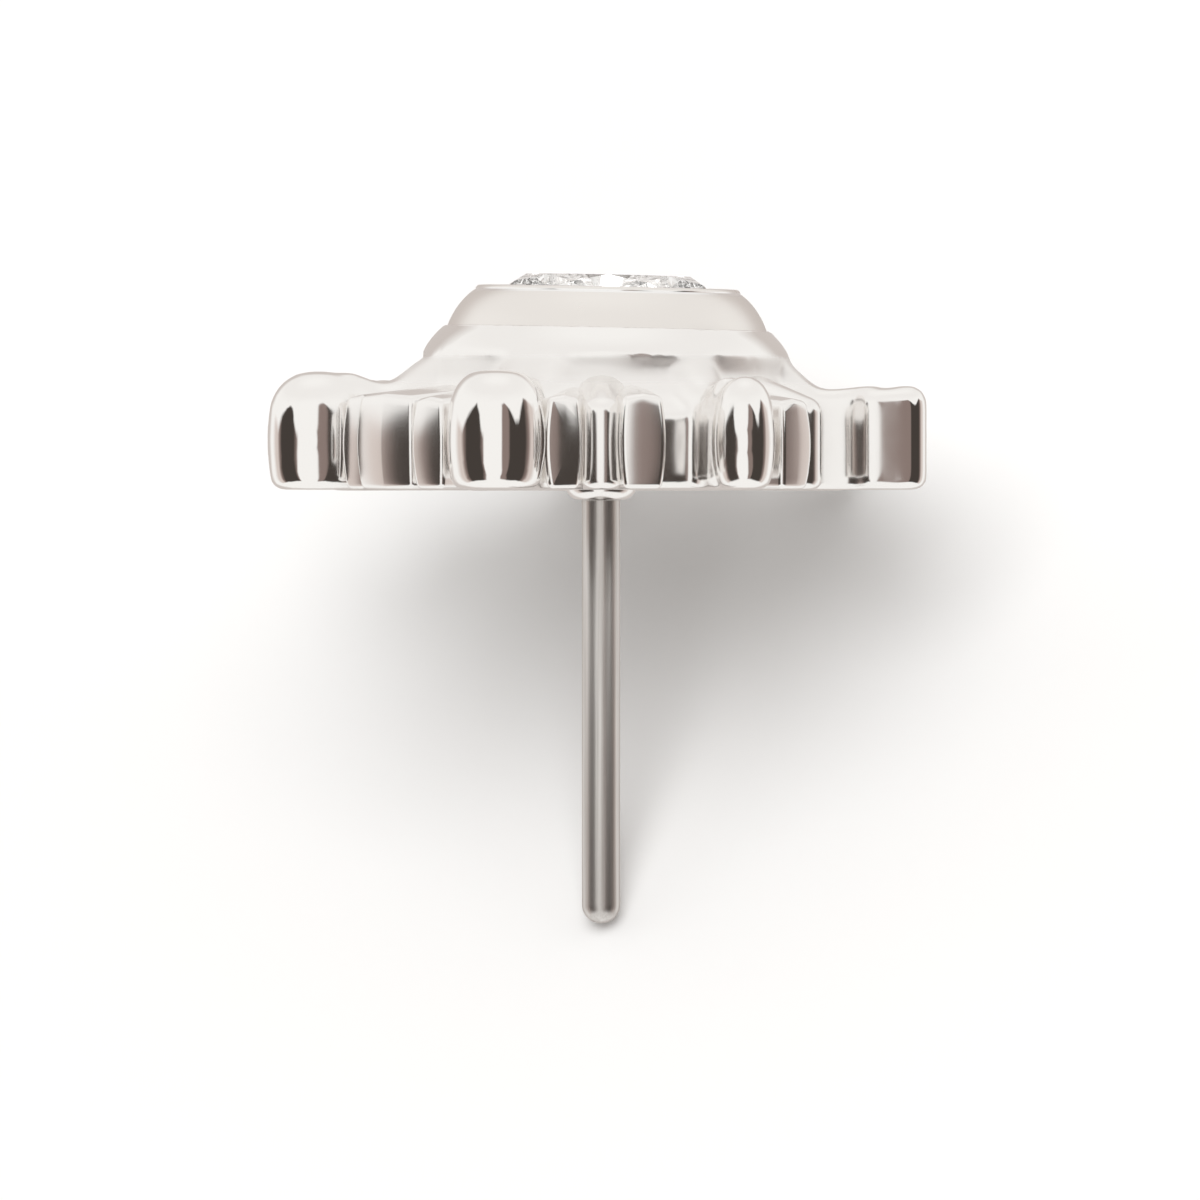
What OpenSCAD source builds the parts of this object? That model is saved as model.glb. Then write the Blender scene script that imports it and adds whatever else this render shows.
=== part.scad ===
// Threadless piercing top: a cast flower with a bezel-set round stone, on a plain push-in pin.
// Everything is modelled upright, with the underside of the flower at z = 0, the pin along -Z
// and the photographed side towards -Y. The whole top is then laid down as it rests by itself,
// on the tip of its pin and on two of its back petals.

/* [Pin] */
// Diameter of the wire, the usual one for threadless posts
pin_d = 0.56; // [0.50:0.01:0.64]
// Length of the pin below the flower
pin_len = 6.35; // [5.0:0.05:8.0]
// How far the pin's thin stub goes up into the flower
pin_grip = 0.7; // [0.5:0.02:0.8]
// Diameter of the stub, which starts where the wire meets the weld collar
stub_d = 0.2; // [0.16:0.01:0.24]
// Diameter of the weld collar round the root of the pin
collar_d = 1.04; // [0.9:0.02:1.4]
// Height of the weld collar below the flower
collar_h = 0.14; // [0.08:0.01:0.2]

/* [Flower] */
// Radius of the disc that the petals grow from, which is the bottom of every valley
disc_r = 3.2; // [3.0:0.05:3.4]
// Height of the disc at its rim
disc_h = 1.16; // [1.0:0.02:1.3]
// Rounding of all lower edges
edge_round = 0.14; // [0.08:0.01:0.2]
// Half width of a big petal's ridge where it leaves the tip, as a share of the tip's
shoulder_share = 0.9; // [0.8:0.01:0.96]
// Half width of the ridge at its neck, as a share of the tip's
neck_share = 0.62; // [0.5:0.01:0.9]
// Half width of the ridge at its root, as a share of the tip's
root_share = 0.95; // [0.8:0.01:1]
// Distance of the neck, which is also the lowest point of the ridge, from the axis
neck_at = 3.3; // [3.1:0.05:3.4]
// How far the ridge dips there below the crest of the tip
dip_drop = 0.16; // [0.05:0.01:0.25]
// Height at which the ridges run into the cushion
root_h = 1.95; // [1.75:0.01:2.0]

/* [Cushion] */
// Largest radius of the round shoulder under the bezel
cushion_r = 2.71; // [2.6:0.01:2.8]
// Height of the shoulder's lower edge
cushion_low = 1.9; // [1.8:0.01:2.0]
// How far the shoulder bulges, from 0 for a plain cone to 1 for a quarter round
shoulder_bulge = 0.3; // [0.2:0.05:1]
// Height of the seam between cushion and bezel
seam_z = 2.36; // [2.3:0.01:2.5]
// Tilt of cushion, bezel and stone to the right, in degrees
crown_tilt = 1.2; // [0:0.1:2]
// How far cushion, bezel and stone sit off the pin's axis
crown_shift = 0.09; // [0:0.01:0.15]

/* [Bezel] */
// Radius of the bezel's outer wall at the seam
bezel_base_r = 2.34; // [2.25:0.01:2.4]
// Radius of the bezel's outer wall at the rim
bezel_rim_r = 1.94; // [1.86:0.01:2.0]
// How far the bezel's wall bulges, from 0 for a plain cone to 1 for a quarter round
bezel_bulge = 0.4; // [0.2:0.05:0.8]
// Height of the bezel above the seam
bezel_h = 0.61; // [0.56:0.01:0.7]
// Radius of the plug under the bezel that sits in the cushion
plug_r = 1.64; // [1.6:0.01:1.8]
// Length of the plug
plug_len = 1.24; // [1.2:0.01:1.3]

/* [Stone] */
// Radius of the stone at its girdle
stone_r = 1.72; // [1.68:0.01:1.74]
// Radius of the table at its corners
table_r = 1.2; // [1.0:0.01:1.26]
// Height of the table above the bezel's rim
table_rise = 0.18; // [0.14:0.01:0.22]
// Angle of the crown's main facets
crown_angle = 34.5; // [33:0.5:35.5]
// Angle of the pavilion's main facets
pavilion_angle = 40.5; // [38:0.5:41]

/* [Big petals] */
// One row for each petal: angle from the photographed side towards +X, radius at which the
// round tip has its centre, radius of the tip, height of its crest and rounding of its top
big_petals = [
    [-72.5, 4.43, 0.62, 1.73, 0.56],
    [-21.0, 4.25, 0.73, 1.73, 0.50],
    [30.5, 4.12, 0.46, 1.66, 0.42],
    [81.0, 4.45, 0.43, 1.53, 0.26],
    [132.4, 4.35, 0.58, 1.44, 0.42],
    [183.8, 4.35, 0.58, 1.60, 0.45],
    [235.3, 4.30, 0.60, 1.64, 0.45],
];

/* [Small lobes] */
// One row for each blunt lobe that the photograph shows between the big petals: angle,
// radius of its face, half width and height at the face
seen_lobes = [
    [-51.6, 4.04, 0.54, 1.36],
    [-40.0, 4.00, 0.27, 1.33],
    [-8.2, 4.02, 0.26, 1.33],
    [8.6, 4.05, 0.33, 1.37],
    [47.5, 3.92, 0.28, 1.30],
];
// The same for the pair in each gap on the hidden side, with the pair's spread for its angle
hidden_lobe = [7.8, 3.98, 0.32, 1.30];
// Rounding of a blunt lobe's upright corners
lobe_corner = 0.15; // [0.12:0.01:0.18]
// How far a blunt lobe narrows towards its top and its foot
lobe_barrel = 0.07; // [0:0.01:0.1]
// Radius of the tip of the narrow rib in the middle of each gap
rib_tip_r = 0.2; // [0.16:0.01:0.24]
// Distance of the rib's tip from the axis
rib_reach = 3.72; // [3.6:0.01:3.8]
// Angle of the one rib that faces the photographed side
front_rib = 0.2; // [-1:0.1:1]
// Height of the rib at its tip
rib_h = 1.36; // [1.28:0.01:1.4]

/* [Hidden] */

// Clearance between pieces that sit in each other
gap = 0.02;

// Columns of the petal and lobe tables
ANGLE = 0;
REACH = 1;
HALF = 2;
HEIGHT = 3;
ROUND = 4;

pin_r = pin_d / 2;
stub_r = stub_d / 2;
collar_r = collar_d / 2;

// Big petals: step from the tip's crest to the ridge, and rounding of the ridge as shares of
// the tip's, in front and where it dips
ridge_step = 0.03;
ridge_round = 0.8;
dip_round = 0.5;

// Small lobes: bow of the face, rise towards the cushion and reach under its wall
face_bow = 0.03;
lobe_rise = 0.14;
lobe_root = 0.3;

// Ribs: how much wider and taller they are at the cushion than at the tip
rib_flare = 0.1;
rib_climb = 0.3;
rib_edge = 0.04;

// Disc: its upper edge, and its climb to the cushion's wall
disc_edge = 0.1;
disc_climb = 0.2;
disc_top = 0.42;

// Cushion: the wall below the shoulder, and the ledge round the bezel's foot
shoulder_h = seam_z - cushion_low;
undercut = 0.07;
undercut_h = 0.06;
wall_h = 0.5;
ledge = 0.04;
sunk = 0.1;

// Bezel: width of its lip over the stone, and the bevel of its outer edge
lip_over = 0.09;
lip_bevel = 0.05;
bevel_h = 0.03;
seat = gap * 1.5;

// The two back petals that touch the surface, and the spin that turns them down
touch_a = big_petals[4];
touch_b = big_petals[5];
touch_half = (touch_b[ANGLE] - touch_a[ANGLE]) / 2;
spin = 180 - (touch_a[ANGLE] + touch_b[ANGLE]) / 2;

// The top leans until the pin's round tip and the petals' lower edges touch the same plane
touch_r = touch_a[REACH] * cos(touch_half) + touch_a[HALF] - edge_round;
tip_low = pin_len - pin_r + edge_round;
lean = atan2(tip_low, touch_r) + asin((pin_r - edge_round) / norm([touch_r, tip_low]));
rest_z = touch_r * sin(lean) - edge_round * cos(lean) + edge_round;

// Front and back of the leaning top, which put the origin in the middle
front_y = -(pin_len - pin_r) * sin(lean) - pin_r;
top_round = touch_b[ROUND];
back_y = (touch_r + edge_round - top_round) * cos(lean)
    + (touch_b[HEIGHT] - top_round) * sin(lean) + top_round;
rest_y = -(front_y + back_y) / 2;

// Heights and radii of the stone, measured from the seam
half_step = 22.5;
girdle_h = 0.06;
table_z = bezel_h + table_rise;
crown_slope = tan(crown_angle);
girdle_top = table_z - (stone_r - table_r) * crown_slope;
girdle_low = girdle_top - girdle_h;
pavilion_slope = tan(pavilion_angle);
culet_z = girdle_low - stone_r * pavilion_slope;
star_r = (table_r + stone_r) / 2 + 0.02;
lower_r = 0.36;

function arc(x, y, r, from, to, steps) =
    [for (i = [0:steps]) let (a = from + (to - from) * i / steps) [x + r * cos(a), y + r * sin(a)]];

// A wall that closes in from the outer radius at its foot to the inner one at its top
function bulging_wall(outer, inner, foot, top, bulge, steps) = [
    for (i = [0:steps]) let (t = i / steps, in = bulge * (1 - cos(90 * t)) + (1 - bulge) * t,
        up = bulge * sin(90 * t) + (1 - bulge) * t)
        [outer + (inner - outer) * in, foot + (top - foot) * up]
];

// Outline of an upright post with a rounded top and a lightly rounded foot
function post_outline(r, h, top) = concat(
    [[0, 0]],
    arc(r - edge_round, edge_round, edge_round, -90, 0, 2),
    arc(r - top, h - top, top, 0, 90, 4),
    [[0, h]]
);

// Ring of points of the stone, at the main facets' angles or halfway between them
function ring(count, r, z, turn) =
    [for (k = [0:count - 1]) let (a = 360 / count * k + turn) [r * cos(a), r * sin(a), z]];

// Height on a main facet of the crown or pavilion at a radius, halfway between two of them
function crown_z(r) = table_z - (r * cos(half_step) - table_r) * crown_slope;
function pavilion_z(r) = culet_z + r * cos(half_step) * pavilion_slope;

// Height of the crown's highest facets at a radius between the star facets and the girdle
function brow_z(r) = crown_z(star_r)
    + (girdle_top - crown_z(star_r)) * (r - star_r) / (stone_r - star_r);

module as_it_rests() {
    translate([0, rest_y, rest_z]) rotate([-lean, 0, 0]) rotate([0, 0, spin]) children();
}

// Frame of cushion, bezel and stone: z = 0 is the seam
module crown() {
    translate([crown_shift, 0, seam_z]) rotate([0, crown_tilt, 0]) children();
}

module post(r, h, top, sides = 28) {
    rotate_extrude($fn = sides) polygon(post_outline(r, h, top));
}

// A big petal: the round tip, and a ridge that dips behind it and climbs to the cushion
module big_petal(petal) {
    shoulder_r = petal[HALF] * shoulder_share;
    neck_r = petal[HALF] * neck_share;
    root_r = petal[HALF] * root_share;
    low_round = petal[ROUND] * dip_round;
    neck_h = petal[HEIGHT] - dip_drop;
    rotate([0, 0, petal[ANGLE]]) {
        translate([0, -petal[REACH], 0]) post(petal[HALF], petal[HEIGHT], petal[ROUND]);
        hull() {
            translate([0, -petal[REACH], 0])
                post(shoulder_r, petal[HEIGHT] - ridge_step, petal[ROUND] * ridge_round, 20);
            translate([0, -neck_at, 0]) post(neck_r, neck_h, low_round, 20);
        }
        hull() {
            translate([0, -neck_at, 0]) post(neck_r, neck_h, low_round, 20);
            translate([0, -cushion_r + root_r, 0]) post(root_r, root_h, low_round, 20);
        }
    }
}

// A blunt lobe: a nearly flat face between two round corners, rising to the cushion's wall
module small_lobe(lobe) {
    corner_x = lobe[HALF] - lobe_corner;
    corner_y = lobe[REACH] - lobe_corner;
    rotate([0, 0, lobe[ANGLE]]) hull() {
        for (side = [-1, 1]) {
            translate([side * corner_x, -corner_y + face_bow, 0]) blunt_corner(lobe[HEIGHT]);
            translate([side * corner_x, -cushion_r + lobe_root, 0]) blunt_corner(lobe[HEIGHT] + lobe_rise);
        }
        translate([0, -corner_y, 0]) blunt_corner(lobe[HEIGHT]);
    }
}

// An upright that is thickest at half its height, like a barrel
module blunt_corner(h) {
    rotate_extrude($fn = 12) polygon(concat(
        [[0, 0]],
        [for (i = [0:4]) let (a = 45 * i - 90) [
            lobe_corner - lobe_barrel * (1 - cos(a)),
            h / 2 * (1 + sin(a)),
        ]],
        [[0, h]]
    ));
}

// The narrow rib in the middle of a gap, which climbs to the cushion between two blunt lobes
module rib(angle) {
    rotate([0, 0, angle]) hull() {
        translate([0, -rib_reach + rib_tip_r, 0]) post(rib_tip_r, rib_h, rib_tip_r - rib_edge, 12);
        translate([0, -cushion_r, 0])
            post(rib_tip_r + rib_flare, rib_h + rib_climb, rib_tip_r + rib_flare - rib_edge, 12);
    }
}

// The disc between the petals, which climbs inwards to the cushion's wall
module disc() {
    rotate_extrude($fn = 72) polygon(concat(
        [[0, 0]],
        arc(disc_r - edge_round, edge_round, edge_round, -90, 0, 2),
        arc(disc_r - disc_edge, disc_h - disc_edge, disc_edge, 0, 60, 2),
        [[cushion_r + disc_edge / 2, disc_h + disc_climb], [cushion_r - disc_edge, disc_h + disc_top]],
        [[0, disc_h + disc_top]]
    ));
}

// The round shoulder, with an undercut below it and a seat for the bezel in its top
module cushion() {
    wall_r = cushion_r - undercut;
    rotate_extrude($fn = 72) polygon(concat(
        [[0, -shoulder_h - wall_h], [wall_r, -shoulder_h - wall_h]],
        [[wall_r, -shoulder_h - undercut_h]],
        bulging_wall(cushion_r, bezel_base_r + ledge, -shoulder_h, -gap, shoulder_bulge, 5),
        [[0, -gap]]
    ));
}

module collar() {
    translate([0, 0, -collar_h]) rotate_extrude($fn = 24) polygon([
        [0, 0],
        [collar_r - sunk, 0],
        [collar_r, collar_h / 2],
        [collar_r, collar_h + sunk],
        [0, collar_h + sunk],
    ]);
}

// Angle of the middle of the gap that follows a big petal
function gap_middle(i) = (big_petals[i][ANGLE]
    + (i < 6 ? big_petals[i + 1][ANGLE] : big_petals[0][ANGLE] + 360)) / 2;

module small_lobes() {
    for (lobe = seen_lobes) small_lobe(lobe);
    for (i = [3:6]) for (side = [-1, 1]) small_lobe([
        gap_middle(i) + side * hidden_lobe[ANGLE],
        hidden_lobe[REACH], hidden_lobe[HALF], hidden_lobe[HEIGHT],
    ]);
}

module ribs() {
    for (i = [0:6]) rib(i == 1 ? front_rib : gap_middle(i));
}

module flower() {
    color("gainsboro") as_it_rests() difference() {
        union() {
            disc();
            for (petal = big_petals) big_petal(petal);
            small_lobes();
            ribs();
            crown() cushion();
            collar();
        }
        crown() translate([0, 0, -plug_len - gap]) cylinder(h = plug_len + 1, r = plug_r + gap, $fn = 36);
        translate([0, 0, -1]) cylinder(h = pin_grip + gap + 1, r = stub_r + gap, $fn = 24);
    }
}

// The cup that holds the stone: a bulging wall, a flat lip over the girdle, and a plug below
module bezel() {
    lip_r = stone_r - lip_over;
    color("lightgray") as_it_rests() crown() rotate_extrude($fn = 96) polygon(concat(
        [[0, -plug_len], [plug_r, -plug_len], [plug_r, 0]],
        bulging_wall(bezel_base_r, bezel_rim_r, 0, bezel_h - bevel_h, bezel_bulge, 6),
        [[bezel_rim_r - lip_bevel, bezel_h], [lip_r, bezel_h], [lip_r, brow_z(lip_r) + seat]],
        [[stone_r + seat, girdle_top + seat], [stone_r + seat, girdle_low - seat]],
        [[0.1, culet_z + 0.1 * pavilion_slope - 2 * seat], [0, culet_z - seat]]
    ));
}

// A round brilliant: table, 8 stars, 8 kites and 16 girdle facets, and as many lines below
module stone() {
    points = concat(
        ring(8, table_r, table_z, 0),
        ring(8, star_r, crown_z(star_r), half_step),
        ring(16, stone_r, girdle_top, 0),
        ring(16, stone_r, girdle_low, 0),
        ring(8, lower_r, pavilion_z(lower_r), half_step),
        [[0, 0, culet_z]]
    );
    star = 8;
    upper = 16;
    under = 32;
    low = 48;
    culet = 56;
    faces = concat(
        [[for (k = [7:-1:0]) k]],
        [for (k = [0:7]) [k, (k + 1) % 8, star + k]],
        [for (k = [0:7]) [k, star + k, upper + 2 * k]],
        [for (k = [0:7]) [k, upper + 2 * k, star + (k + 7) % 8]],
        [for (k = [0:7]) [star + k, upper + 2 * k + 1, upper + 2 * k]],
        [for (k = [0:7]) [star + k, upper + (2 * k + 2) % 16, upper + 2 * k + 1]],
        [for (k = [0:15]) [upper + k, upper + (k + 1) % 16, under + (k + 1) % 16, under + k]],
        [for (k = [0:7]) [low + k, under + 2 * k, under + 2 * k + 1]],
        [for (k = [0:7]) [low + k, under + 2 * k + 1, under + (2 * k + 2) % 16]],
        [for (k = [0:7]) [culet, under + 2 * k, low + k]],
        [for (k = [0:7]) [culet, low + (k + 7) % 8, under + 2 * k]]
    );
    color("azure") as_it_rests() crown() polyhedron(points, faces, convexity = 4);
}

// Plain drawn wire with a full round tip, and a thin stub that sits in the flower
module pin() {
    wire_top = -collar_h - gap;
    color("silver") as_it_rests() rotate_extrude($fn = 64) union() {
        translate([0, -pin_len + pin_r]) square([pin_r, pin_len - pin_r + wire_top]);
        translate([0, wire_top - sunk]) square([stub_r, pin_grip - wire_top + sunk]);
        intersection() {
            translate([0, -pin_len + pin_r]) circle(r = pin_r, $fn = 64);
            translate([0, -pin_len]) square([pin_r, pin_d]);
        }
    }
}

flower();
bezel();
stone();
pin();
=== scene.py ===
# %% [markdown]
# # A threadless piercing top, finished in Blender
# This jewel is a cast metal flower with a round stone in a cup, on a thin wire pin. The packed
# model already has its sizes and its place. Here each piece gets the soft edges, the blended
# corners and the polish that a jeweller would give it, at the same sizes.

# %% Load the frame
import math

import bmesh
import bpy
from mathutils import Matrix, Vector


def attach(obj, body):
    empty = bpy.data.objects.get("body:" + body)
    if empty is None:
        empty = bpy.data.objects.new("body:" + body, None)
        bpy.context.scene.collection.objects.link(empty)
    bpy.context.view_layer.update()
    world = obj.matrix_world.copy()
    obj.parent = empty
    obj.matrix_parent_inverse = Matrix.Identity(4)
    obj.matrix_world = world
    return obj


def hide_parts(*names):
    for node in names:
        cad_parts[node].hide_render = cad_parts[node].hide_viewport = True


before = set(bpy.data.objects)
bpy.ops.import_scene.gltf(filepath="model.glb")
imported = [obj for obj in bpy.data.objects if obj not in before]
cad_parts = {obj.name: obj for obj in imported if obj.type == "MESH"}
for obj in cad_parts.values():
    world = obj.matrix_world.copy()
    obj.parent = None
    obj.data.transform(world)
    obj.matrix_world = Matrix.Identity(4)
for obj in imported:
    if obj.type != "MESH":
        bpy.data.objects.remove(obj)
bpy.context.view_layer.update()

# %% [markdown]
# ## The bench
# The pieces are a few millimetres big, and Blender's tools have thresholds made for metres. So
# the work is done upright on a bench where one unit is one millimetre, with the underside of the
# flower at height 0 and the pin pointing down. Only the finished piece is scaled down and laid
# on the surface as it rests: on the tip of its pin and on two of its back petals.

# %% Values of the whole top, in millimetres and degrees
PIN_R = 0.28
PIN_LEN = 6.35
PIN_GRIP = 0.7
STUB_R = 0.1
GAP = 0.02

LEAN = 55.98674691
SPIN = 21.9
REST_Y = 0.82144834888109
REST_Z = 3.675464844969735
CROWN_TILT = 1.2
CROWN_SHIFT = 0.09
SEAM_Z = 2.36

as_it_rests = (
    Matrix.Scale(0.001, 4)
    @ Matrix.Translation((0, REST_Y, REST_Z))
    @ Matrix.Rotation(math.radians(-LEAN), 4, "X")
    @ Matrix.Rotation(math.radians(SPIN), 4, "Z")
)
# The stone, its cup and the cushion below it sit a little askew, as on the real casting
crown_place = (
    Matrix.Translation((CROWN_SHIFT, 0, SEAM_Z))
    @ Matrix.Rotation(math.radians(CROWN_TILT), 4, "Y")
)
print("pin:", PIN_R, "x", PIN_LEN, "mm, lean:", LEAN, "degrees")


# %% Helpers that pick up one object, or a part of it
def alone(piece):
    """Makes this the one object that operators act on."""
    if bpy.context.mode != "OBJECT":
        bpy.ops.object.mode_set(mode="OBJECT")
    bpy.ops.object.select_all(action="DESELECT")
    piece.select_set(True)
    bpy.context.view_layer.objects.active = piece


def edit(piece, kind="VERT"):
    """Opens a piece in edit mode with nothing selected."""
    alone(piece)
    bpy.ops.object.mode_set(mode="EDIT")
    bpy.ops.mesh.select_mode(type=kind)
    bpy.ops.mesh.select_all(action="DESELECT")


def choose_edges(piece, wanted):
    """Opens a piece and selects the edges whose two ends both pass a test."""
    edit(piece, "EDGE")
    mesh = bmesh.from_edit_mesh(piece.data)
    for edge in mesh.edges:
        edge.select_set(all(wanted(v.co) for v in edge.verts))
    bmesh.update_edit_mesh(piece.data)


def choose_points(piece, wanted):
    """Opens a piece and selects the points that pass a test."""
    edit(piece)
    mesh = bmesh.from_edit_mesh(piece.data)
    for point in mesh.verts:
        point.select_set(wanted(point.co))
    mesh.select_flush(True)
    bmesh.update_edit_mesh(piece.data)


def done():
    """Goes back to object mode."""
    bpy.ops.object.mode_set(mode="OBJECT")


def place(piece, matrix):
    """Moves a piece and writes its new place into its mesh."""
    alone(piece)
    piece.matrix_world = matrix @ piece.matrix_world
    bpy.ops.object.transform_apply(location=True, rotation=True, scale=True)


def joined(parts, name):
    """Joins several objects into the first and names the result."""
    alone(parts[0])
    for part in parts:
        part.select_set(True)
    bpy.ops.object.join()
    piece = bpy.context.object
    piece.name = piece.data.name = name
    return piece


def apply(piece, kind, **settings):
    """Adds a modifier with its settings and applies it."""
    alone(piece)
    modifier = piece.modifiers.new(kind.lower(), kind)
    for key, value in settings.items():
        setattr(modifier, key, value)
    bpy.ops.object.modifier_apply(modifier=modifier.name)


# %% [markdown]
# ## Posts: the stuff that the flower is made of
# A wax carver builds such a flower from soft upright pillars that grow together. A pillar is a
# cylinder whose top edge has a wide bevel and whose foot has a small one. Pillars wrapped in one
# tight skin, with Blender's convex hull, make the ribs and one blunt petal's tip. What is round
# is turned instead: a filled circle is raised ring by ring.

# %% Pillars and turned shapes
EDGE_ROUND = 0.14
LEVEL_ERROR = 1e-4


def pillar(r, h, top_round, spot=(0, 0), sides=40, foot_round=EDGE_ROUND):
    """An upright pillar of the flower, standing on the underside."""
    bpy.ops.object.select_all(action="DESELECT")
    bpy.ops.mesh.primitive_cylinder_add(vertices=sides, radius=r, depth=h, location=(0, 0, h / 2))
    piece = bpy.context.object
    bpy.ops.object.transform_apply(location=True)
    for level, width, steps in ((h, top_round, 7), (0, foot_round, 3)):
        choose_edges(piece, lambda p: abs(p.z - level) < LEVEL_ERROR)
        bpy.ops.mesh.bevel(offset=width, segments=steps, profile=0.5, clamp_overlap=False)
        done()
    place(piece, Matrix.Translation((spot[0], spot[1], 0)))
    return piece


def raise_rings(piece, rings, first_r):
    """Raises a filled circle ring by ring through a list of radii and heights."""
    edit(piece, "FACE")
    bpy.ops.mesh.select_all(action="SELECT")
    r, z = first_r, 0.0
    for count, (new_r, new_z) in enumerate(rings):
        if count:
            step = {"value": (0, 0, new_z - z)}
            bpy.ops.mesh.extrude_region_move(TRANSFORM_OT_translate=step)
        else:
            bpy.ops.transform.translate(value=(0, 0, new_z - z))
        share = new_r / r
        bpy.ops.transform.resize(value=(share, share, 1), center_override=(0, 0, new_z))
        r, z = new_r, new_z
    bpy.ops.mesh.select_all(action="SELECT")
    bpy.ops.mesh.normals_make_consistent(inside=False)
    done()


def turning(rings, name, sides=128):
    """A turned shape, from a filled circle that is raised ring by ring."""
    bpy.ops.object.select_all(action="DESELECT")
    bpy.ops.mesh.primitive_circle_add(vertices=sides, radius=rings[0][0], fill_type="NGON")
    piece = bpy.context.object
    piece.name = piece.data.name = name
    raise_rings(piece, rings, rings[0][0])
    return piece


def quarter(x, y, r, start, end, steps):
    """Radii and heights along an arc about a point."""
    angles = [math.radians(start + (end - start) * i / steps) for i in range(steps + 1)]
    return [(x + r * math.cos(a), y + r * math.sin(a)) for a in angles]


def bulging_wall(outer, inner, foot, top, bulge, steps):
    """Radii and heights of a wall that closes in as it rises, from a cone to a quarter round."""
    wall = []
    for i in range(steps + 1):
        t = i / steps
        into = bulge * (1 - math.cos(math.pi / 2 * t)) + (1 - bulge) * t
        up = bulge * math.sin(math.pi / 2 * t) + (1 - bulge) * t
        wall.append((outer + (inner - outer) * into, foot + (top - foot) * up))
    return wall


def wrapped(parts, name):
    """Wraps several pillars in one tight skin."""
    piece = joined(parts, name)
    bpy.ops.object.mode_set(mode="EDIT")
    bpy.ops.mesh.select_all(action="SELECT")
    bpy.ops.mesh.convex_hull()
    done()
    return piece


def turned(piece, angle):
    """Turns a piece about the pin's axis to its own angle, counted from the photographed side."""
    place(piece, Matrix.Rotation(math.radians(angle), 4, "Z"))
    return piece


# %% [markdown]
# ## The seven big petals
# Each petal is a turned knob at its tip and a ridge that starts at the cushion, dips, narrows to
# a neck and runs into the knob. The casting is not regular: each petal has its own width, reach
# and roundness, which are kept in a table.

# %% Table of the petals
# Angle, radius of the tip's centre, half width, height of the crest, rounding of the top, length
# against width, and how much the tip narrows above and below its middle
BIG_PETALS = (
    (-72.5, 4.332, 0.60, 1.73, 0.52, 1.27, 0.08),
    (-21.0, 4.25, 0.73, 1.73, 0.50, 1, 0.13),
    (30.5, 4.12, 0.46, 1.66, 0.42, 1, 0.13),
    (81.0, 4.45, 0.43, 1.53, 0.26, 1, 0.13),
    (132.4, 4.35, 0.58, 1.44, 0.42, 1, 0.13),
    (183.8, 4.35, 0.58, 1.60, 0.45, 1, 0.13),
    (235.3, 4.30, 0.60, 1.64, 0.45, 1, 0.13),
)
CUSHION_R = 2.71
# The knob: its round foot, the share of its height where it is thickest, and its rounded top
TIP_FOOT = 0.12
TIP_FOOT_SHARE = 0.6
TIP_BELLY = 0.42
TOP_START = math.radians(12)
TOP_SHARE = 0.96
# The tip that is blunt has a nose and two cheeks instead
BLUNT_PETAL = 3
NOSE_SHARE = 0.66
NOSE_OUT = 0.05
CHEEK_R = 0.19
CHEEK_BACK = 0.4
CHEEK_DROP = 0.08
# Distances along the ridge, counted from the axis or back from the middle of the tip
ROOT_R = 2.5
ROOT_SUNK = 0.3
DIP_R = 3.35
NECK_BACK = 0.77
NECK_LENGTH = 0.36
CREST_BACK = 0.4
RIDGE_END_BACK = 0.35
# Heights of the ridge, and its width against the width of the tip
ROOT_H = 1.98
DIP_DROP = 0.16
DIP_FLOOR = 1.47
RIDGE_BELOW_TIP = 0.01
ROOT_SHARE = 1.15
NECK_SHARE = 0.62
TIP_SHARE = 0.72
BLUNT_SHARE = 0.92
# A ridge narrows with the square of the way from its widest level, which is 0.64 at its crest
RIDGE_ARCH = 0.12
ARCH_LEVEL = 0.2
ARCH_SQUARE = 0.64
print("rows in the table:", len(BIG_PETALS))


# %% Petals
def ease(t):
    """A smooth step from 0 to 1."""
    return (1 - math.cos(math.pi * t)) / 2


def petal_tip(half, height, top_round, reach, length, barrel):
    """The round tip, a turned knob that is thickest below half its height."""
    low, high = EDGE_ROUND, height - top_round
    foot_r = half - barrel * TIP_FOOT_SHARE
    rings = quarter(foot_r - TIP_FOOT, TIP_FOOT, TIP_FOOT, -90, -30, 4)
    steps = 10
    for i in range(steps + 1):
        z = low + (high - low) * i / steps
        away = (z - height * TIP_BELLY) / (height * 0.5)
        rings.append((half - barrel * away * away, z))
    edge = rings[-1][0]
    for i in range(1, steps + 1):
        a = TOP_START + (math.pi / 2 - TOP_START) * i / steps
        into = math.cos(TOP_START) - math.cos(a)
        up = math.sin(a) - math.sin(TOP_START)
        rings.append((
            edge - top_round * TOP_SHARE * into,
            high + top_round * up / (1 - math.sin(TOP_START)),
        ))
    knob = turning(rings, "knob", 56)
    place(knob, Matrix.Translation((0, -reach, 0)) @ Matrix.Diagonal((1, length, 1, 1)))
    return knob


def blunt_tip(half, height, reach):
    """The tip of the right-hand petal, with two flat cheeks that narrow to a small nose."""
    nose = half * NOSE_SHARE
    parts = [pillar(nose, height, nose - 0.03, (0, nose - reach - half + NOSE_OUT))]
    for x in (CHEEK_R - half, half - CHEEK_R):
        spot = (x, CHEEK_BACK - reach)
        parts.append(pillar(CHEEK_R, height - CHEEK_DROP, CHEEK_R - 0.02, spot, 24))
    return wrapped(parts, "blunt_tip")


def arched(piece, height):
    """Makes a ridge thickest near its foot and narrower towards its crest."""
    edit(piece)
    mesh = bmesh.from_edit_mesh(piece.data)
    for point in mesh.verts:
        away = point.co.z / height - ARCH_LEVEL
        point.co.x *= 1 - RIDGE_ARCH * away * abs(away) / ARCH_SQUARE
    bmesh.update_edit_mesh(piece.data)
    done()


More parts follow.
